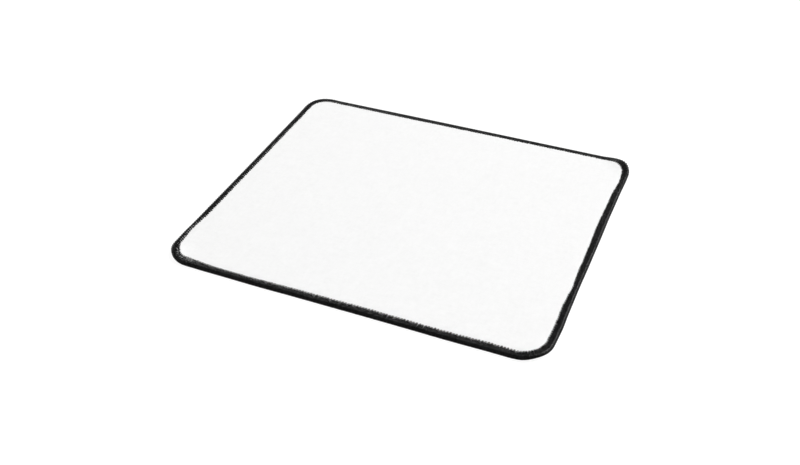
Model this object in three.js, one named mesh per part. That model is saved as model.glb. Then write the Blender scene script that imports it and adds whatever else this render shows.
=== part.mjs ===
// A cloth-topped mouse pad with an overlocked edge, in millimetres, +Z up.
// The origin is at the middle of the underside; X runs along the longer side.
// A white woven cloth is bonded to a black foam-rubber sheet. Three threads of one overlock seam wrap
// the cut edge: a needle thread on the inner line, and a looper thread over and under the margin.
import * as THREE from 'three';

// The pad in plan, measured over the stitching.
const PAD_WIDTH = 290;
const PAD_DEPTH = 250;
const CORNER_RADIUS = 20;

// The laminated sheet, where it lies flat.
const CLOTH_THICKNESS = 0.4;
const BOND_THICKNESS = 0.1;
const RUBBER_THICKNESS = 2.5;

// The seam, which squeezes the sheet's margin between its threads.
const SEAM_WIDTH = 5;
const SEAM_RISE = 0.2;
const LOOPER_THICKNESS = 0.45;
const UPPER_ROUNDING = 1.6;
const LOWER_ROUNDING = 0.8;
const NEEDLE_THREAD_WIDTH = 0.6;
const NEEDLE_THREAD_HEIGHT = 0.35;
const THREAD_CLEARANCE = 0.1;

// How far in from the seam the squeezed sheet swells back to its full thickness.
const SWELL_WIDTH = 1.6;

// How finely the round parts are divided: half of a corner, an arc in the section, and the swell.
const CORNER_STEPS = 4;
const ROUND_STEPS = 6;
const SWELL_STEPS = 4;

const WHITE_CLOTH = new THREE.MeshStandardMaterial({ color: 0xf4f4f3, roughness: 0.9, metalness: 0 });
const CLEAR_FILM = new THREE.MeshStandardMaterial({ color: 0xd9d6c8, roughness: 0.5, metalness: 0 });
const BLACK_RUBBER = new THREE.MeshStandardMaterial({ color: 0x1b1b1c, roughness: 0.85, metalness: 0 });
const BLACK_THREAD = new THREE.MeshStandardMaterial({ color: 0x161617, roughness: 0.6, metalness: 0 });

// Heights of the sheet and the seam above the desk.
const sheetTop = RUBBER_THICKNESS + BOND_THICKNESS + CLOTH_THICKNESS;
const seamTop = sheetTop + SEAM_RISE;
const seamMiddle = seamTop / 2;
const marginBottom = LOOPER_THICKNESS;
const marginTop = seamTop - LOOPER_THICKNESS;

// Distances in from the pad's outline. The seam's edge is rounder above than below.
const sheetEdge = UPPER_ROUNDING + THREAD_CLEARANCE;
const needleOuter = SEAM_WIDTH - NEEDLE_THREAD_WIDTH;
const swellOuter = SEAM_WIDTH + THREAD_CLEARANCE;
const swellInner = swellOuter + SWELL_WIDTH;

const point = (inset, z) => new THREE.Vector2(inset, z);

// The pad's outline drawn in by a distance, anticlockwise from above.
function outline(inset) {
  const x = PAD_WIDTH / 2 - CORNER_RADIUS;
  const y = PAD_DEPTH / 2 - CORNER_RADIUS;
  const radius = CORNER_RADIUS - inset;
  const quarter = Math.PI / 2;
  const path = new THREE.Path();
  path.absarc(x, -y, radius, -quarter, 0);
  path.absarc(x, y, radius, 0, quarter);
  path.absarc(-x, y, radius, quarter, 2 * quarter);
  path.absarc(-x, -y, radius, 2 * quarter, 3 * quarter);
  return path.getPoints(CORNER_STEPS);
}

// Points of an ellipse's arc in a section, with angles from the outward direction up towards +Z.
function arc(centre, acrossRadius, upRadius, from, to) {
  const points = [];
  for (let i = 0; i <= ROUND_STEPS; i++) {
    const angle = THREE.MathUtils.degToRad(THREE.MathUtils.lerp(from, to, i / ROUND_STEPS));
    points.push(point(centre.x - acrossRadius * Math.cos(angle), centre.y + upRadius * Math.sin(angle)));
  }
  return points;
}

// The rings that a section's points make when it runs round the pad, as one list of vertices, and the
// faces between neighbouring rings. A section climbs at the pad's outer side.
function runRound(section, closed) {
  const rings = section.map((p) => outline(p.x).map((q) => [q.x, q.y, p.y]));
  const count = rings[0].length;
  const faces = [];
  const bands = closed ? rings.length : rings.length - 1;
  for (let j = 0; j < bands; j++) {
    const low = j * count;
    const high = ((j + 1) % rings.length) * count;
    for (let i = 0; i < count; i++) {
      const next = (i + 1) % count;
      faces.push(low + i, low + next, high + next);
      faces.push(low + i, high + next, high + i);
    }
  }
  return { vertices: rings.flat(2), faces, count };
}

function geometryOf(vertices, faces) {
  const geometry = new THREE.BufferGeometry();
  geometry.setAttribute('position', new THREE.Float32BufferAttribute(vertices, 3));
  geometry.setIndex(faces);
  geometry.computeVertexNormals();
  return geometry;
}

// A thread's cover: a closed section run round the pad.
function ring(section) {
  const { vertices, faces } = runRound(section, true);
  return geometryOf(vertices, faces);
}

// A layer of the sheet: an open section run round the pad, closed by its flat lower and upper faces.
function plate(section) {
  const { vertices, faces, count } = runRound(section, false);
  const last = (section.length - 1) * count;
  const flat = THREE.ShapeUtils.triangulateShape(outline(swellInner), []);
  for (const [a, b, c] of flat) {
    faces.push(a, c, b);
    faces.push(last + a, last + b, last + c);
  }
  return geometryOf(vertices, faces);
}

// One face of a layer, from where it lies flat, down or up the swell, to the cut edge under the seam.
function face(flatZ, marginZ) {
  const points = [];
  for (let i = 0; i <= SWELL_STEPS; i++) {
    const t = i / SWELL_STEPS;
    const inset = THREE.MathUtils.lerp(swellInner, swellOuter, t);
    points.push(point(inset, THREE.MathUtils.lerp(flatZ, marginZ, THREE.MathUtils.smoothstep(t, 0, 1))));
  }
  points.push(point(sheetEdge, marginZ));
  return points;
}

const clothUnderside = face(sheetTop - CLOTH_THICKNESS, marginTop - CLOTH_THICKNESS);
const rubberTop = face(RUBBER_THICKNESS, marginTop - CLOTH_THICKNESS - BOND_THICKNESS);

function clothTop() {
  return plate([...clothUnderside, ...face(sheetTop, marginTop).toReversed()]);
}

function bondFilm() {
  return plate([...rubberTop, ...clothUnderside.toReversed()]);
}

// The foam bulges at its cut edge, where the threads draw it round.
function rubberBase() {
  const squeezedTop = rubberTop.at(-1).y;
  const radius = (squeezedTop - marginBottom) / 2;
  const bulge = arc(point(sheetEdge, marginBottom + radius), radius, radius, -90, 90);
  const underside = face(0, marginBottom).slice(0, -1);
  const top = rubberTop.slice(0, -1).toReversed();
  return plate([...underside, ...bulge, ...top]);
}

// The needle thread lies on the cloth along the inner side of the seam.
function needleThread() {
  const halfWidth = NEEDLE_THREAD_WIDTH / 2;
  return ring(arc(point(SEAM_WIDTH - halfWidth, marginTop), halfWidth, NEEDLE_THREAD_HEIGHT, 0, 180));
}

// A quarter of the seam's rounded edge, drawn in from its outer face by a distance.
function quarterEdge(rounding, depth, from, to) {
  return arc(point(rounding, seamMiddle), rounding - depth, seamMiddle - depth, from, to);
}

// The loopers' covers meet at the middle of the edge, and each lies flat on the sheet's margin.
function upperLooperThread() {
  const innerEnd = needleOuter - THREAD_CLEARANCE;
  return ring([
    ...quarterEdge(UPPER_ROUNDING, 0, 0, 90),
    point(innerEnd - LOOPER_THICKNESS, seamTop),
    point(innerEnd, marginTop + LOOPER_THICKNESS / 2),
    point(innerEnd, marginTop),
    ...quarterEdge(UPPER_ROUNDING, LOOPER_THICKNESS, 90, 0),
  ]);
}

function lowerLooperThread() {
  return ring([
    ...quarterEdge(LOWER_ROUNDING, LOOPER_THICKNESS, 0, -90),
    point(SEAM_WIDTH, marginBottom),
    point(SEAM_WIDTH, 0),
    ...quarterEdge(LOWER_ROUNDING, 0, -90, 0),
  ]);
}

function named(name, geometry, material) {
  const mesh = new THREE.Mesh(geometry, material);
  mesh.name = name;
  return mesh;
}

const mousePad = new THREE.Group();
mousePad.add(
  named('cloth_top', clothTop(), WHITE_CLOTH),
  named('bond_film', bondFilm(), CLEAR_FILM),
  named('rubber_base', rubberBase(), BLACK_RUBBER),
  named('needle_thread', needleThread(), BLACK_THREAD),
  named('upper_looper_thread', upperLooperThread(), BLACK_THREAD),
  named('lower_looper_thread', lowerLooperThread(), BLACK_THREAD),
);

export default mousePad;
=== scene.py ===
import math

import bpy
import numpy as np
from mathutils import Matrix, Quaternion, Vector
from mathutils.geometry import delaunay_2d_cdt


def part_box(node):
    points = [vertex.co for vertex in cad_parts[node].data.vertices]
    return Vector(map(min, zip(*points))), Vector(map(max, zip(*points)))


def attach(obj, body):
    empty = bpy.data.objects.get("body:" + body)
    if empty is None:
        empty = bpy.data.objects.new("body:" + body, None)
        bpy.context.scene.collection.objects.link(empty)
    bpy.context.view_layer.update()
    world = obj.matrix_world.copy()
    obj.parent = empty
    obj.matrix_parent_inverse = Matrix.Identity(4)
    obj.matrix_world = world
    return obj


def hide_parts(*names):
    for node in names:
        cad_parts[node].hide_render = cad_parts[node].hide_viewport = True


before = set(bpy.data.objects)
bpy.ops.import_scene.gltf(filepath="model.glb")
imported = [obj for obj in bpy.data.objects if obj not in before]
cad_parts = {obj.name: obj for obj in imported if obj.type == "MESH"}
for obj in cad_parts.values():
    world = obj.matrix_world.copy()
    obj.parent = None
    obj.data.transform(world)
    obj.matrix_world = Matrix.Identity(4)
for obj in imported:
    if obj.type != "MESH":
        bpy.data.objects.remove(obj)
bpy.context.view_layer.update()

MM = 0.001

# Sizes that the model's parts give: half of the pad each way, heights above the desk, and insets.
seam_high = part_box("upper_looper_thread")[1]
HALF_X = seam_high.x
HALF_Y = seam_high.y
SEAM_TOP = seam_high.z
SEAM_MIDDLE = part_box("lower_looper_thread")[1].z
SHEET_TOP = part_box("cloth_top")[1].z
FILM_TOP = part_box("bond_film")[1].z
RUBBER_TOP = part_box("rubber_base")[1].z
MARGIN_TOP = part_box("needle_thread")[0].z
SHEET_EDGE = HALF_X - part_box("cloth_top")[1].x
NEEDLE_BEAD = HALF_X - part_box("needle_thread")[1].x

# The seam's other sizes. The needle's holes lie a little outside the bead that stands for its thread.
CORNER_RADIUS = 20 * MM
LOOPER_THICKNESS = SEAM_TOP - MARGIN_TOP
UPPER_ROUNDING = 1.6 * MM
LOWER_ROUNDING = 0.6 * MM
NEEDLE_SHIFT = 0.2 * MM
NEEDLE_LINE = NEEDLE_BEAD - NEEDLE_SHIFT

# The swell by which the sheet, squeezed under the seam, comes back to its full thickness.
SWELL_START = -0.2 * MM
SWELL_WIDTH = 1.4 * MM
SWELL_STEPS = 5
FLAT_INSET = NEEDLE_LINE + SWELL_START + SWELL_WIDTH

# Heights of the layers' faces in the squeezed margin.
FILM_MARGIN = MARGIN_TOP - (SHEET_TOP - FILM_TOP)
RUBBER_MARGIN = MARGIN_TOP - (SHEET_TOP - RUBBER_TOP)
UNDERSIDE_MARGIN = LOOPER_THICKNESS

# The stitches are counted along a line at this inset. The seeds are for what varies by chance.
STITCH_LINE = 2.5 * MM
STITCHES = 470
STITCH_SEED = 4
UPPER_SEED = 5
LOWER_SEED = 6

# How far each corner curls up off the desk, at the square corner that the rounding cuts off.
CORNER_CURLS = {(1, -1): 4.3 * MM, (1, 1): 3.2 * MM, (-1, 1): 1.3 * MM, (-1, -1): 3.6 * MM}
CURL_REACH = 26 * MM

# Where the cut edge strays from its outline: the place, how far along the seam, and how far inwards.
EDGE_STRAYS = (
    (-145 * MM, 0, 70 * MM, 0.25 * MM),
    (-145 * MM, -92 * MM, 10 * MM, -0.35 * MM),
    (-141 * MM, -116 * MM, 8 * MM, 0.75 * MM),
    (-66 * MM, -125 * MM, 22 * MM, -0.3 * MM),
    (76 * MM, -125 * MM, 18 * MM, -0.25 * MM),
    (143 * MM, -109 * MM, 8 * MM, 0.35 * MM),
    (145 * MM, -86 * MM, 9 * MM, -0.35 * MM),
    (145 * MM, -43 * MM, 14 * MM, 0.2 * MM),
    (145 * MM, 43 * MM, 14 * MM, 0.2 * MM),
    (145 * MM, 100 * MM, 16 * MM, -0.5 * MM),
    (137 * MM, 121 * MM, 10 * MM, -1.4 * MM),
    (-20 * MM, 125 * MM, 100 * MM, -0.35 * MM),
    (-139 * MM, 119 * MM, 14 * MM, -0.4 * MM),
)

# Where the needle line strays from its course: the place, how far along the seam, and how far inwards.
NEEDLE_STRAYS = (
    (-145 * MM, -85 * MM, 13 * MM, -1.0 * MM),
    (-141 * MM, -116 * MM, 10 * MM, 0.75 * MM),
    (-123 * MM, -125 * MM, 11 * MM, 1.5 * MM),
    (-88 * MM, -125 * MM, 30 * MM, -0.7 * MM),
    (18 * MM, -125 * MM, 22 * MM, 0.45 * MM),
    (106 * MM, -125 * MM, 14 * MM, 0.5 * MM),
    (139 * MM, -120 * MM, 12 * MM, 0.8 * MM),
    (145 * MM, -45 * MM, 12 * MM, -1.3 * MM),
    (145 * MM, -14 * MM, 18 * MM, -0.3 * MM),
    (145 * MM, 32 * MM, 18 * MM, 0.6 * MM),
    (145 * MM, 43 * MM, 14 * MM, -0.45 * MM),
    (145 * MM, 92 * MM, 13 * MM, -1.1 * MM),
    (135 * MM, 122 * MM, 15 * MM, 0.9 * MM),
    (-60 * MM, 125 * MM, 60 * MM, 0.5 * MM),
    (0, 125 * MM, 120 * MM, 0.3 * MM),
    (-138 * MM, 118 * MM, 15 * MM, 0.5 * MM),
)

# Where the loops stand open and show the cloth: the place, how far along the seam, and how wide.
LOOSE_LOOPS = (
    (-145 * MM, 20 * MM, 110 * MM, 1.0),
    (-145 * MM, -88 * MM, 16 * MM, 1.1),
    (-139 * MM, -120 * MM, 16 * MM, 0.8),
    (-20 * MM, -125 * MM, 150 * MM, 0.15),
)

# Where the loops are drawn tight and their tips touch: the place, how far along the seam, and how much.
TIGHT_LOOPS = (
    (-85 * MM, -125 * MM, 60 * MM, 0.8),
    (70 * MM, -125 * MM, 70 * MM, 0.2),
    (145 * MM, 20 * MM, 110 * MM, 1.0),
    (0, 125 * MM, 140 * MM, 1.0),
)

# The camera, as fitted to the pad's outline in the photograph. Its lens and sensor are in millimetres.
CAMERA_PLACE = Vector((0.2390, -0.5693, 0.4559))
CAMERA_TARGET = Vector((0.0040, -0.0297, 0))
CAMERA_ROLL = math.radians(-0.856)
CAMERA_LENS = 44.64
CAMERA_SENSOR = 36


# The course of the seam
STRAIGHT_X = HALF_X - CORNER_RADIUS
STRAIGHT_Y = HALF_Y - CORNER_RADIUS
BEND = (CORNER_RADIUS - STITCH_LINE) * math.pi / 2
HALF_ROUND = (2 * STRAIGHT_X, BEND, 2 * STRAIGHT_Y, BEND)
RUN_ENDS = np.cumsum((0, *HALF_ROUND, *HALF_ROUND))
RUN_X = np.array((-1, 1, 1, 1, 1, -1, -1, -1, -1)) * STRAIGHT_X
RUN_Y = np.array((-1, -1, -1, 1, 1, 1, 1, -1, -1)) * STRAIGHT_Y
RUN_TURN = np.array((-1, -1, 0, 0, 1, 1, 2, 2, 3)) * math.pi / 2
SEAM_LENGTH = RUN_ENDS[-1]
PITCH = SEAM_LENGTH / STITCHES


def curl(x, y):
    height = np.zeros_like(x)
    for (side_x, side_y), rise in CORNER_CURLS.items():
        away = np.hypot(x - side_x * HALF_X, y - side_y * HALF_Y)
        height += rise * np.clip(1 - away / CURL_REACH, 0, None) ** 2
    return height


# The angle that the outline faces at distances along the seam.
def facing(distance):
    return np.interp(np.mod(distance, SEAM_LENGTH), RUN_ENDS, RUN_TURN)


def outward(distance):
    turn = facing(distance)
    return np.stack([np.cos(turn), np.sin(turn), np.zeros_like(turn)], -1)


# Points of the outline at distances along the seam.
def outline(distance):
    along = np.mod(distance, SEAM_LENGTH)
    out = outward(distance)
    x = np.interp(along, RUN_ENDS, RUN_X) + CORNER_RADIUS * out[..., 0]
    y = np.interp(along, RUN_ENDS, RUN_Y) + CORNER_RADIUS * out[..., 1]
    return x, y, out


# The sum of what a list of places on the outline gives, each fading with the distance from it.
def local_sum(places, distance):
    edge_x, edge_y, _ = outline(distance)
    total = np.zeros(distance.shape)
    for x, y, reach, amount in places:
        away = np.hypot(edge_x - x, edge_y - y)
        total += amount * np.exp(-((away / reach) ** 2))
    return total


# Points at distances along the seam, at insets, and at heights above the desk.
def place(distance, inset, height):
    edge_x, edge_y, out = outline(distance)
    inwards = inset + local_sum(EDGE_STRAYS, distance)
    x = edge_x - inwards * out[..., 0]
    y = edge_y - inwards * out[..., 1]
    return np.stack([x, y, height + curl(x, y)], -1)


def needle_inset(distance):
    return NEEDLE_LINE + local_sum(NEEDLE_STRAYS, distance)


# How much of its full height the sheet has at an inset.
def swelling(inset, needle):
    step = np.clip((inset - needle - SWELL_START) / SWELL_WIDTH, 0, 1)
    return step * step * (3 - 2 * step)


# Meshes
def mesh_object(name, vertices, faces, material):
    mesh = bpy.data.meshes.new(name)
    mesh.from_pydata(vertices.tolist(), [], faces)
    mesh.polygons.foreach_set("use_smooth", [True] * len(mesh.polygons))
    mesh.materials.append(material)
    mesh.update()
    piece = bpy.data.objects.new(name, mesh)
    bpy.context.scene.collection.objects.link(piece)
    return piece


def ring_faces(rings, count, closed):
    bands = rings if closed else rings - 1
    ring, step = np.meshgrid(np.arange(bands), np.arange(count), indexing="ij")
    low = ring * count
    high = (ring + 1) % rings * count
    after = (step + 1) % count
    return np.stack([low + step, low + after, high + after, high + step], -1).reshape(-1, 4)


# A thread's section, pressed flat on top, as shares of half its width and half its height.
SECTION_ACROSS = np.array((1, 0.92, 0.58, -0.58, -0.92, -1, -0.6, 0.6))
SECTION_UP = np.array((0, 0.62, 0.97, 0.97, 0.62, 0, -0.9, -0.9))


# A closed thread of flattened section along a closed path, with its flat side towards the lift.
def thread_object(name, path, lift, half_width, half_height, material):
    ahead = np.roll(path, -1, 0) - np.roll(path, 1, 0)
    ahead /= np.linalg.norm(ahead, axis=1, keepdims=True)
    lift = lift - (lift * ahead).sum(1, keepdims=True) * ahead
    lift /= np.linalg.norm(lift, axis=1, keepdims=True)
    aside = np.cross(ahead, lift)
    wide = half_width[:, None, None] * SECTION_ACROSS[None, :, None] * aside[:, None, :]
    high = half_height[:, None, None] * SECTION_UP[None, :, None] * lift[:, None, :]
    vertices = (path[:, None, :] + wide + high).reshape(-1, 3)
    faces = ring_faces(len(path), len(SECTION_ACROSS), True)[:, ::-1]
    piece = mesh_object(name, vertices, faces.tolist(), material)
    map_strand(piece, path)
    return piece


# A map of a thread for its twist: the length along it in millimetres, and the share of the way round.
def map_strand(piece, path):
    sides = len(SECTION_ACROSS)
    step = np.linalg.norm(np.roll(path, -1, 0) - path, axis=1)
    reached = np.concatenate([[0], np.cumsum(step)])
    at, side = np.meshgrid(np.arange(len(path)), np.arange(sides), indexing="ij")
    length = np.stack([reached[at + 1], reached[at + 1], reached[at], reached[at]], -1)
    turn = np.stack([side, side + 1, side + 1, side], -1) / sides
    strand = piece.data.uv_layers.new(name="strand")
    strand.data.foreach_set("uv", np.stack([length / MM, turn], -1).ravel().astype(np.float32))


# How far the needle's holes stray by chance: along the seam, in stitches, and across it.
HOLE_STRAY = 0.02
LINE_STRAY = 0.04 * MM


# Where each needle hole lies along the seam, and its inset.
def plan_stitches():
    chance = np.random.default_rng(STITCH_SEED)
    distance = (np.arange(STITCHES) + chance.normal(0, HOLE_STRAY, STITCHES)) * PITCH
    inset = needle_inset(distance) + chance.normal(0, LINE_STRAY, STITCHES)
    return distance, inset


# One leg of a looper thread's loop, from the edge towards the tip. Across is a share of the way there.
# Aside is counted from the loop's middle, and it and the thread's width are in stitches.
LOOP_ACROSS = np.array((0.03, 0.15, 0.27, 0.40, 0.58, 0.74, 0.83, 0.905, 0.96, 0.99))
LOOP_ASIDE = np.array((0.25, 0.25, 0.25, 0.25, 0.25, 0.235, 0.185, 0.15, 0.135, 0.085))
LOOP_WIDTH = np.array((0.44, 0.54, 0.56, 0.56, 0.55, 0.51, 0.40, 0.30, 0.28, 0.28))
TIGHT_ASIDE = np.array((0.25, 0.25, 0.25, 0.25, 0.25, 0.25, 0.24, 0.21, 0.165, 0.095))
TIGHT_WIDTH = np.array((0.44, 0.54, 0.56, 0.56, 0.55, 0.55, 0.50, 0.42, 0.36, 0.31))
TIGHT_DRAW = 0.2 * MM
TIP_WIDTH = 0.28
TIP_THINNING = 0.1 * MM
PURL_ACROSS = -0.10
PURL_ASIDE = 0.5
PURL_WIDTH = 0.30
LOOP_SLANT = 0.3
LOOP_HALF_HEIGHT = 0.23 * MM
ROUNDEST_SECTION = 0.9

# What varies by chance from loop to loop: the tip, the sway, the fullness, and the slack near the tip.
TIP_STRAY = 0.12 * MM
LOOP_SWAY = 0.03
FULLNESS_STRAY = 0.05
SLACK_RANGE = (0.85, 1.0)
SLACK_START = 0.6

# A loose loop bows out over a part of its way to the tip, and its thread is drawn thinner there.
OPEN_RANGE = (0.7, 1.3)
OPEN_START = 0.42
OPEN_RISE = 0.3
OPEN_END = 0.93
OPEN_FALL = 0.1
OPEN_ASIDE = 0.08
OPEN_THINNING = 0.52
OPEN_LIMIT = 1.2

# How far the tips reach past the needle line, how far loops stand out at the edge, and over what share
# of their way. The lower loops lie a part of a stitch further along than the upper ones.
UPPER_TIP_REACH = 1.38 * MM
UPPER_PROUD = 0.15 * MM
LOWER_PROUD = 0.4 * MM
PROUD_SHARE = 0.15
LOWER_SHIFT = 0.25

# The outline counts as bent where it turns by more than this from stitch to stitch.
LEAST_TURN = 1e-4


# The course of a looper thread round the edge, by its way along the section from the middle of the edge.
def over_edge(way, rounding):
    bend = rounding - LOOPER_THICKNESS / 2
    straight = SEAM_MIDDLE - rounding
    angle = np.clip((way - straight) / bend, 0, math.pi / 2)
    flat = np.maximum(way - straight - bend * math.pi / 2, 0)
    inset = rounding - bend * np.cos(angle) + flat
    height = np.minimum(way, straight) + bend * np.sin(angle)
    return inset, height, angle


# The whole of that way, to a loop's tip at an inset.
def way_to_tip(tip, rounding):
    bend = rounding - LOOPER_THICKNESS / 2
    return SEAM_MIDDLE - rounding + bend * math.pi / 2 + tip - rounding


# One stitch's points: up one leg of the loop, its tip, down the other leg, and the purl to the next.
def whole_loop(leg, tip, purl, first_sign=1):
    return np.concatenate([first_sign * leg, [tip], leg[::-1], [purl]])[None, :]


def open_loops(across, aside, width, hole, chance):
    opening = local_sum(LOOSE_LOOPS, hole) * chance.uniform(*OPEN_RANGE, STITCHES)
    rise = np.clip((across - OPEN_START) / OPEN_RISE, 0, 1)
    fall = np.clip((OPEN_END - across) / OPEN_FALL, 0, 1)
    opening = opening[:, None] * rise * fall
    aside = aside + np.sign(aside) * OPEN_ASIDE * opening
    width = width * (1 - OPEN_THINNING * np.clip(opening, 0, OPEN_LIMIT))
    return aside, width


# Where each stitch's points lie across the seam and aside of the loop's middle, and the width there.
def loop_points(hole, tight, chance):
    across = whole_loop(LOOP_ACROSS, 1, PURL_ACROSS)
    aside = whole_loop(LOOP_ASIDE, 0, PURL_ASIDE, -1)
    aside = aside + tight * (whole_loop(TIGHT_ASIDE, 0, PURL_ASIDE, -1) - aside)
    width = whole_loop(LOOP_WIDTH, TIP_WIDTH, PURL_WIDTH)
    width = width + tight * (whole_loop(TIGHT_WIDTH, TIP_WIDTH, PURL_WIDTH) - width)
    aside, width = open_loops(across, aside, width, hole, chance)
    slack = chance.uniform(*SLACK_RANGE, (STITCHES, 1))
    width = np.where(across > SLACK_START, width * slack, width)
    return across, aside, width


# How much a corner spreads or crowds what lies at an inset, next to the line of the count.
def corner_spread(distance, inset):
    turning = np.abs(np.gradient(np.unwrap(facing(distance)), axis=0))
    arc_share = (CORNER_RADIUS - inset) / (CORNER_RADIUS - STITCH_LINE)
    return np.where(turning > LEAST_TURN, arc_share, 1)


# A looper thread, whose loops wrap the edge and lie along the upper or the lower face of the seam.
def looper_thread(
    name, stitches, material, *, rounding, upward, tip_reach, tip_rise, shift, proud, seed
):
    chance = np.random.default_rng(seed)
    hole, needle = stitches
    tight = np.clip(local_sum(TIGHT_LOOPS, hole), 0, 1)
    across, aside, width = loop_points(hole, tight[:, None], chance)
    tip = needle + tip_reach - TIGHT_DRAW * tight + chance.normal(0, TIP_STRAY, STITCHES)
    way = across * way_to_tip(tip, rounding)[:, None]
    inset, height, angle = over_edge(way, rounding)
    swell = swelling(inset, needle[:, None])
    height = height + (tip_rise - TIP_THINNING) * swell
    inset = inset - proud * np.clip(1 - across / PROUD_SHARE, 0, 1)
    sway = chance.normal(0, LOOP_SWAY, (STITCHES, 1)) * np.clip(across, 0, 1)
    distance = hole[:, None] + (aside + shift - LOOP_SLANT * (1 - across) + sway) * PITCH
    path = place(distance, inset, SEAM_MIDDLE + upward * height).reshape(-1, 3)
    lift = np.cos(angle)[..., None] * outward(distance)
    lift[..., 2] = upward * np.sin(angle)
    fullness = 1 + chance.normal(0, FULLNESS_STRAY, (STITCHES, 1))
    half_width = (width * corner_spread(distance, inset) * fullness * PITCH / 2).ravel()
    half_height = LOOP_HALF_HEIGHT - TIP_THINNING * swell.ravel()
    half_height = np.minimum(half_height, half_width * ROUNDEST_SECTION)
    return thread_object(name, path, lift.reshape(-1, 3), half_width, half_height, material)


# One stitch of the needle thread: each point's share of the way from hole to hole, and its height.
NEEDLE_ALONG = np.array((0, 0.10, 0.24, 0.5, 0.76, 0.90))
NEEDLE_HEIGHT = np.array((-0.3, 0.18, 0.42, 0.34, 0.42, 0.18)) * MM
NEEDLE_HALF_WIDTH = 0.17 * MM


def needle_thread(name, stitches, material):
    hole, needle = stitches
    next_hole = np.append(hole[1:], hole[0] + SEAM_LENGTH)
    next_needle = np.roll(needle, -1)
    distance = hole[:, None] + NEEDLE_ALONG * (next_hole - hole)[:, None]
    inset = needle[:, None] + NEEDLE_ALONG * (next_needle - needle)[:, None]
    height = np.broadcast_to(MARGIN_TOP + NEEDLE_HEIGHT, distance.shape)
    path = place(distance, inset, height).reshape(-1, 3)
    lift = np.broadcast_to(np.array((0.0, 0.0, 1.0)), path.shape)
    half = np.full(len(path), NEEDLE_HALF_WIDTH)
    return thread_object(name, path, lift, half, half, material)


# The layers of the sheet
PLATE_STEP = 2.0 * MM
CORNER_STEPS = 14
LATTICE_SPACING = 4 * MM
LATTICE_CLEARANCE = 1.4 * MM
MERGE_DISTANCE = 1e-7
TRIANGLES_INSIDE = 1


# Distances along the seam at which the layers are divided.
def plate_stations():
    stations = []
    for start, end in zip(RUN_ENDS[:-1], RUN_ENDS[1:]):
        bent = math.isclose(end - start, BEND)
        steps = CORNER_STEPS if bent else round((end - start) / PLATE_STEP)
        stations.append(np.linspace(start, end, steps, endpoint=False))
    return np.concatenate(stations)


# One face of a layer, from where it lies flat, along the swell, to its cut edge under the seam.
def layer_face(stations, flat_height, margin_height):
    needle = needle_inset(stations)
    rings = []
    for step in np.linspace(1, 0, SWELL_STEPS + 1):
        inset = needle + SWELL_START + step * SWELL_WIDTH
        swell = swelling(inset, needle)
        rings.append((inset, margin_height + (flat_height - margin_height) * swell))
    rings.append((np.full_like(stations, SHEET_EDGE), margin_height))
    return rings


# The insets of points, where the outline doesn't stray.
def insets_of(points):
    past = np.abs(points) - (STRAIGHT_X, STRAIGHT_Y)
    corner = CORNER_RADIUS - np.hypot(*np.maximum(past, 0).T)
    side = CORNER_RADIUS - past.max(1)
    return np.where((past > 0).all(1), corner, side)


# The flat part of a face inside a ring, filled with a lattice; gives the new points and the triangles.
def fill_ring(ring, spacing):
    count = len(ring)
    x = np.arange(-(HALF_X // spacing), HALF_X / spacing) * spacing
    y = np.arange(-(HALF_Y // spacing), HALF_Y / spacing) * spacing
    lattice = np.stack(np.meshgrid(x, y, indexing="ij"), -1).reshape(-1, 2)
    lattice = lattice[insets_of(lattice) > FLAT_INSET + LATTICE_CLEARANCE]
    points = [Vector(p) for p in np.concatenate([ring, lattice]).tolist()]
    edges = [(i, (i + 1) % count) for i in range(count)]
    found = delaunay_2d_cdt(points, edges, [], TRIANGLES_INSIDE, MERGE_DISTANCE)
    return np.array([tuple(p) for p in found[0]])[count:], found[2]


# A closed layer: its section run round the pad, and its lower and upper faces filled in.
def plate_object(name, section, heights, spacings, relief, material):
    stations = plate_stations()
    count = len(stations)
    rings = [place(stations, inset, np.broadcast_to(height, inset.shape)) for inset, height in section]
    vertices = [np.concatenate(rings)]
    faces = ring_faces(len(rings), count, False).tolist()
    used = len(rings) * count
    ends = (0, len(rings) - 1)
    for ring, height, spacing, lower in zip(ends, heights, spacings, (True, False)):
        points, triangles = fill_ring(rings[ring][:, :2], spacing)
        x, y = points.T
        raised = relief(x, y) if lower else 0
        vertices.append(np.stack([x, y, height + curl(x, y) + raised], -1))
        for triangle in triangles:
            corners = [ring * count + i if i < count else used + i - count for i in triangle]
            faces.append(corners[::-1] if lower else corners)
        used += len(points)
    return mesh_object(name, np.concatenate(vertices), faces, material)


def no_relief(x, y):
    return np.zeros_like(x)


# A layer of even thickness, by the heights of its faces where they lie flat and in the margin.
def even_layer(name, lower, upper, material):
    stations = plate_stations()
    section = layer_face(stations, *lower) + layer_face(stations, *upper)[::-1]
    heights = (lower[0], upper[0])
    spacings = (LATTICE_SPACING, LATTICE_SPACING)
    return plate_object(name, section, heights, spacings, no_relief, material)


# The rubber has rows of small round hollows in its underside, and bulges at its cut edge.
HOLLOW_SPACING = 2.5 * MM
HOLLOW_DEPTH = 0.22 * MM
BULGE_ANGLE = 75
BULGE_STEPS = 6


def rubber_relief(x, y):
    wave = np.cos(2 * math.pi * x / HOLLOW_SPACING) * np.cos(2 * math.pi * y / HOLLOW_SPACING)
    return HOLLOW_DEPTH * (1 - wave) / 2


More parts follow.
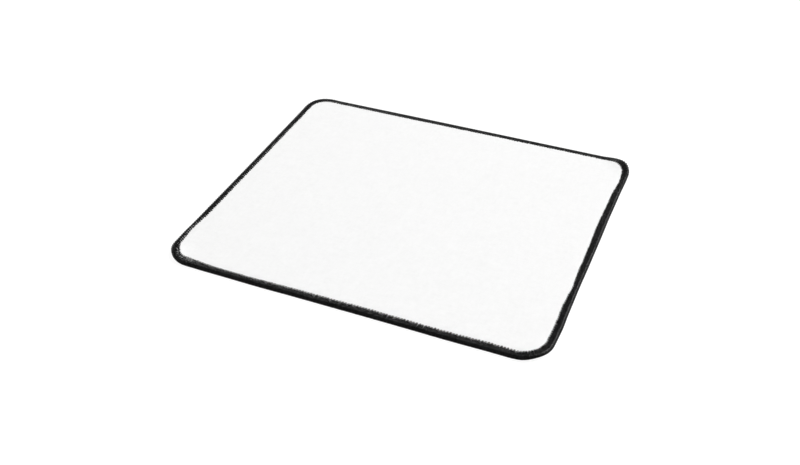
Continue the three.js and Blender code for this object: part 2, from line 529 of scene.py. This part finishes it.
def rubber_layer(name, material):
    stations = plate_stations()
    radius = (RUBBER_MARGIN - UNDERSIDE_MARGIN) / 2
    bulge = []
    for angle in np.radians(np.linspace(-BULGE_ANGLE, BULGE_ANGLE, BULGE_STEPS)):
        inset = np.full_like(stations, SHEET_EDGE - radius * math.cos(angle))
        bulge.append((inset, UNDERSIDE_MARGIN + radius + radius * math.sin(angle)))
    under = layer_face(stations, 0, UNDERSIDE_MARGIN)
    over = layer_face(stations, RUBBER_TOP, RUBBER_MARGIN)
    section = under + bulge + over[::-1]
    spacings = (HOLLOW_SPACING / 2, LATTICE_SPACING)
    return plate_object(name, section, (0, RUBBER_TOP), spacings, rubber_relief, material)


# Materials
def add_node(tree, kind, **settings):
    node = tree.nodes.new(kind)
    for name, value in settings.items():
        setattr(node, name, value)
    return node


def feed(tree, socket, value):
    if isinstance(value, bpy.types.NodeSocket):
        tree.links.new(value, socket)
    else:
        socket.default_value = value


def calculate(tree, operation, *values):
    node = add_node(tree, "ShaderNodeMath", operation=operation)
    for socket, value in zip(node.inputs, values):
        feed(tree, socket, value)
    return node.outputs[0]


# A value with a part of another added to it.
def add_part(tree, value, other, part):
    return calculate(tree, "MULTIPLY_ADD", other, part, value)


def object_position(tree):
    return add_node(tree, "ShaderNodeTexCoord").outputs["Object"]


def split_vector(tree, vector):
    node = add_node(tree, "ShaderNodeSeparateXYZ")
    feed(tree, node.inputs[0], vector)
    return node.outputs


def noise(tree, vector, scale, detail):
    node = add_node(tree, "ShaderNodeTexNoise")
    feed(tree, node.inputs["Vector"], vector)
    node.inputs["Scale"].default_value = scale
    node.inputs["Detail"].default_value = detail
    return node.outputs["Fac"]


# A value between two, as a factor goes from its start to its end.
def spread(tree, factor, low, high, start=0.0, end=1.0):
    node = add_node(tree, "ShaderNodeMapRange")
    feed(tree, node.inputs["Value"], factor)
    node.inputs["From Min"].default_value = start
    node.inputs["From Max"].default_value = end
    node.inputs["To Min"].default_value = low
    node.inputs["To Max"].default_value = high
    return node.outputs["Result"]


# A colour between two, in the same way.
def ramp(tree, factor, low, high, start, end):
    node = add_node(tree, "ShaderNodeValToRGB")
    feed(tree, node.inputs["Fac"], spread(tree, factor, 0, 1, start, end))
    first, last = node.color_ramp.elements
    first.color = (*low, 1)
    last.color = (*high, 1)
    return node.outputs["Color"]


def bump(tree, height, distance, strength):
    node = add_node(tree, "ShaderNodeBump")
    feed(tree, node.inputs["Height"], height)
    node.inputs["Distance"].default_value = distance
    node.inputs["Strength"].default_value = strength
    return node.outputs["Normal"]


def new_material(name):
    material = bpy.data.materials.new(name)
    material.use_nodes = True
    tree = material.node_tree
    return material, tree, tree.nodes["Principled BSDF"].inputs


def dress(tree, surface, colour, roughness, normal):
    tree.links.new(colour, surface["Base Color"])
    tree.links.new(roughness, surface["Roughness"])
    tree.links.new(normal, surface["Normal"])


# The darkest and the lightest colour of each material.
# The cloth's darkest colour lies in the gaps between its yarns, where it is painted shade.
CLOTH_COLOURS = ((0.80, 0.80, 0.797), (0.98, 0.98, 0.978))
# The thread's darker colours lie partly in the grooves of its twist, as painted shade.
THREAD_COLOURS = ((0.001, 0.001, 0.001), (0.012, 0.012, 0.0123))
RUBBER_COLOURS = ((0.009, 0.009, 0.0095), (0.022, 0.022, 0.023))
FILM_COLOURS = ((0.60, 0.58, 0.50), (0.74, 0.72, 0.64))

# The needle thread and the upper looper thread have a soft gloss. The lower looper thread is the same
# black thread with its gloss cut down, as painted shade on the seam's lower face.
THREAD_GLOSS = 0.17
SHADED_THREAD_GLOSS = 0.02

# A plain weave: at each crossing one yarn lies over the other, in turn.
YARN_PITCH = 0.8 * MM


# Half of a value and a half.
def upper_half(tree, value):
    return calculate(tree, "MULTIPLY_ADD", value, 0.5, 0.5)


def weave_height(tree, position):
    axes = split_vector(tree, position)
    yarns = []
    for axis in ("X", "Y"):
        phase = calculate(tree, "MULTIPLY", axes[axis], math.pi / YARN_PITCH)
        yarns.append(calculate(tree, "SINE", phase))
    turn = calculate(tree, "SIGN", calculate(tree, "MULTIPLY", *yarns))
    warp = calculate(tree, "ABSOLUTE", yarns[0])
    weft = calculate(tree, "ABSOLUTE", yarns[1])
    warp_over = calculate(tree, "MULTIPLY", warp, upper_half(tree, weft))
    weft_over = calculate(tree, "MULTIPLY", weft, upper_half(tree, warp))
    mixed = add_node(tree, "ShaderNodeMix")
    feed(tree, mixed.inputs["Factor"], upper_half(tree, turn))
    feed(tree, mixed.inputs["A"], weft_over)
    feed(tree, mixed.inputs["B"], warp_over)
    return mixed.outputs["Result"]


# Yarns vary in thickness along their length, which shows as faint streaks both ways.
STREAK_WIDTH = 1.4 * MM
STREAK_LENGTH = 5 * MM


def yarn_streaks(tree, position):
    streaks = []
    for width, length in ((STREAK_WIDTH, STREAK_LENGTH), (STREAK_LENGTH, STREAK_WIDTH)):
        stretched = add_node(tree, "ShaderNodeVectorMath", operation="MULTIPLY")
        feed(tree, stretched.inputs[0], position)
        stretched.inputs[1].default_value = (1 / width, 1 / length, 1 / STREAK_LENGTH)
        streaks.append(noise(tree, stretched.outputs[0], scale=1, detail=1))
    return calculate(tree, "ADD", *streaks)


def cloth_material():
    material, tree, surface = new_material("white_cloth")
    position = object_position(tree)
    fibres = noise(tree, position, scale=4200, detail=2)
    clouds = noise(tree, position, scale=60, detail=3)
    # The weave's relief with fine fibres: the bump's height, and in the colour painted shade where it is
    # low.
    relief_and_gap_shade = add_part(tree, weave_height(tree, position), fibres, part=0.25)
    streaked = add_part(tree, relief_and_gap_shade, yarn_streaks(tree, position), part=0.35)
    shade = add_part(tree, streaked, clouds, part=0.15)
    # The cloth's colour: the low places of the weave, between the yarns, are painted darker as shade;
    # the fibres, streaks and clouds are its own uneven tone.
    colour = ramp(tree, shade, *CLOTH_COLOURS, start=0.31, end=1.51)
    roughness = spread(tree, fibres, low=0.82, high=0.96)
    dress(tree, surface, colour, roughness, bump(tree, relief_and_gap_shade, distance=0.12 * MM, strength=0.6))
    surface["Specular IOR Level"].default_value = 0.2
    surface["Sheen Weight"].default_value = 0.06
    surface["Sheen Roughness"].default_value = 0.5
    return material


# Loosely twisted thread: plies run slowly round it, and fine fibres along them. Lengths in millimetres.
PLIES = 5
TWIST_LENGTH = 2.4
FIBRES_ROUND = 26
FIBRE_LENGTH = 1.6


def thread_material(name, gloss):
    material, tree, surface = new_material(name)
    strand = split_vector(tree, add_node(tree, "ShaderNodeUVMap", uv_map="strand").outputs["UV"])
    lay = add_part(tree, strand["Y"], strand["X"], part=1 / (TWIST_LENGTH * PLIES))
    wave = calculate(tree, "SINE", calculate(tree, "MULTIPLY", lay, math.pi * PLIES))
    ply = calculate(tree, "ABSOLUTE", wave)
    fibre_place = add_node(tree, "ShaderNodeCombineXYZ")
    feed(tree, fibre_place.inputs["X"], calculate(tree, "DIVIDE", strand["X"], FIBRE_LENGTH))
    feed(tree, fibre_place.inputs["Y"], calculate(tree, "MULTIPLY", lay, FIBRES_ROUND))
    fibres = noise(tree, fibre_place.outputs[0], scale=1, detail=2)
    patches = noise(tree, object_position(tree), scale=350, detail=2)
    height = add_part(tree, ply, fibres, part=0.6)
    # The patches are the thread's own uneven tone; the grooves between its plies and fibres are painted
    # darker, as shade.
    shade = add_part(tree, patches, height, part=0.15)
    colour = ramp(tree, shade, *THREAD_COLOURS, start=0.52, end=0.82)
    roughness = spread(tree, fibres, low=0.2, high=0.32)
    dress(tree, surface, colour, roughness, bump(tree, height, distance=0.05 * MM, strength=0.8))
    surface["Specular IOR Level"].default_value = gloss
    return material


def rubber_material():
    material, tree, surface = new_material("black_rubber")
    position = object_position(tree)
    cells = noise(tree, position, scale=2600, detail=4)
    clouds = noise(tree, position, scale=120, detail=3)
    shade = add_part(tree, cells, clouds, part=0.5)
    colour = ramp(tree, shade, *RUBBER_COLOURS, start=0.3, end=1.1)
    roughness = spread(tree, cells, low=0.7, high=0.95)
    dress(tree, surface, colour, roughness, bump(tree, cells, distance=0.08 * MM, strength=0.5))
    surface["Specular IOR Level"].default_value = 0.3
    return material


def film_material():
    material, tree, surface = new_material("clear_film")
    web = noise(tree, object_position(tree), scale=900, detail=4)
    colour = ramp(tree, web, *FILM_COLOURS, start=0.3, end=0.7)
    roughness = spread(tree, web, low=0.4, high=0.65)
    dress(tree, surface, colour, roughness, bump(tree, web, distance=0.03 * MM, strength=0.4))
    return material


# The stage: a round floor that curves up at its rim into a low backdrop.
FLOOR_REACH = 3.4
FLOOR_INNER_SHARE = 0.9
BACKDROP_REACH = 4.2
BACKDROP_HEIGHT = 1.3
COVE_STEPS = 9
STAGE_STEPS = 64
FLOOR_COLOUR = (0.16, 0.16, 0.16, 1)
FLOOR_GLOW = 0.94

# The light: an even white sky, and one lamp at the right, to the back and above.
SKY_COLOUR = (1, 1, 1, 1)
SKY_LEVEL = 0.19
KEY_DISTANCE = 12
KEY_PLACE = Vector((0.48, 0.45, 0.75)) * KEY_DISTANCE
KEY_SIZE = 3.6
KEY_POWER = 1722


# The floor is grey to the light on the pad, and lifted to white where it is looked at or mirrored.
def floor_material():
    material = bpy.data.materials.new("floor")
    material.use_nodes = True
    tree = material.node_tree
    tree.nodes.remove(tree.nodes["Principled BSDF"])
    diffuse = add_node(tree, "ShaderNodeBsdfDiffuse")
    diffuse.inputs["Color"].default_value = FLOOR_COLOUR
    path = add_node(tree, "ShaderNodeLightPath").outputs
    seen = calculate(tree, "MAXIMUM", path["Is Camera Ray"], path["Is Glossy Ray"])
    seen = calculate(tree, "MAXIMUM", seen, path["Is Transmission Ray"])
    glow = add_node(tree, "ShaderNodeEmission")
    tree.links.new(calculate(tree, "MULTIPLY", seen, FLOOR_GLOW), glow.inputs["Strength"])
    both = add_node(tree, "ShaderNodeAddShader")
    tree.links.new(diffuse.outputs[0], both.inputs[0])
    tree.links.new(glow.outputs[0], both.inputs[1])
    tree.links.new(both.outputs[0], tree.nodes["Material Output"].inputs["Surface"])
    return material


def make_floor():
    cove = np.radians(np.linspace(90, 0, COVE_STEPS))
    reach = FLOOR_REACH + (BACKDROP_REACH - FLOOR_REACH) * np.sin(cove)
    reach = np.append(reach, FLOOR_INNER_SHARE * FLOOR_REACH)
    rise = np.append(BACKDROP_HEIGHT * (1 - np.cos(cove)), 0)
    turn = np.arange(STAGE_STEPS) * 2 * math.pi / STAGE_STEPS
    around = np.stack([np.cos(turn), np.sin(turn), np.zeros(STAGE_STEPS)], -1)
    rings = reach[:, None, None] * around + rise[:, None, None] * np.array((0, 0, 1))
    faces = ring_faces(len(reach), STAGE_STEPS, False).tolist()
    innermost = (len(reach) - 1) * STAGE_STEPS
    faces.append(list(range(innermost, innermost + STAGE_STEPS)))
    floor = mesh_object("floor", rings.reshape(-1, 3), faces, floor_material())


def make_world():
    world = bpy.data.worlds.new("studio")
    bpy.context.scene.world = world
    world.use_nodes = True
    background = world.node_tree.nodes["Background"].inputs
    background["Color"].default_value = SKY_COLOUR
    background["Strength"].default_value = SKY_LEVEL


def make_lamp():
    data = bpy.data.lights.new("key", "AREA")
    data.shape = "SQUARE"
    data.size = KEY_SIZE
    data.energy = KEY_POWER
    lamp = bpy.data.objects.new("key", data)
    lamp.location = KEY_PLACE
    lamp.rotation_euler = (-KEY_PLACE).to_track_quat("-Z", "Y").to_euler()
    bpy.context.scene.collection.objects.link(lamp)


def make_camera():
    data = bpy.data.cameras.new("camera")
    data.sensor_width = CAMERA_SENSOR
    data.lens = CAMERA_LENS
    camera = bpy.data.objects.new("camera", data)
    camera.location = CAMERA_PLACE
    aim = (CAMERA_TARGET - CAMERA_PLACE).to_track_quat("-Z", "Y")
    camera.rotation_euler = (aim @ Quaternion((0, 0, 1), CAMERA_ROLL)).to_euler()
    bpy.context.scene.collection.objects.link(camera)
    bpy.context.scene.camera = camera


make_camera()
make_world()
make_floor()
make_lamp()
bpy.context.scene.view_settings.view_transform = "Standard"

stitches = plan_stitches()
thread = thread_material("black_thread", THREAD_GLOSS)
# A copy of the black thread with little gloss, for the lower loops: painted shade on the underside of
# the seam.
shaded_thread = thread_material("shaded_black_thread", SHADED_THREAD_GLOSS)
cloth = even_layer("cloth_face", (FILM_TOP, FILM_MARGIN), (SHEET_TOP, MARGIN_TOP), cloth_material())
film = even_layer("bond_layer", (RUBBER_TOP, RUBBER_MARGIN), (FILM_TOP, FILM_MARGIN), film_material())
rubber = rubber_layer("rubber_sheet", rubber_material())
needle = needle_thread("needle_stitches", stitches, thread)
upper = looper_thread(
    "upper_looper_loops",
    stitches,
    thread,
    rounding=UPPER_ROUNDING,
    upward=1,
    tip_reach=UPPER_TIP_REACH,
    tip_rise=SHEET_TOP - MARGIN_TOP,
    shift=0,
    proud=UPPER_PROUD,
    seed=UPPER_SEED,
)
lower = looper_thread(
    "lower_looper_loops",
    stitches,
    shaded_thread,
    rounding=LOWER_ROUNDING,
    upward=-1,
    tip_reach=0,
    tip_rise=0,
    shift=LOWER_SHIFT,
    proud=LOWER_PROUD,
    seed=LOWER_SEED,
)

DRESSED = (
    (cloth, "cloth_top", "white_cloth"),
    (film, "bond_film", "clear_film"),
    (rubber, "rubber_base", "black_rubber"),
    (needle, "needle_thread", "black_thread"),
    (upper, "upper_looper_thread", "black_thread"),
    (lower, "lower_looper_thread", "black_thread"),
)
for piece, node, slot in DRESSED:
    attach(piece, "root")
    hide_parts(node)
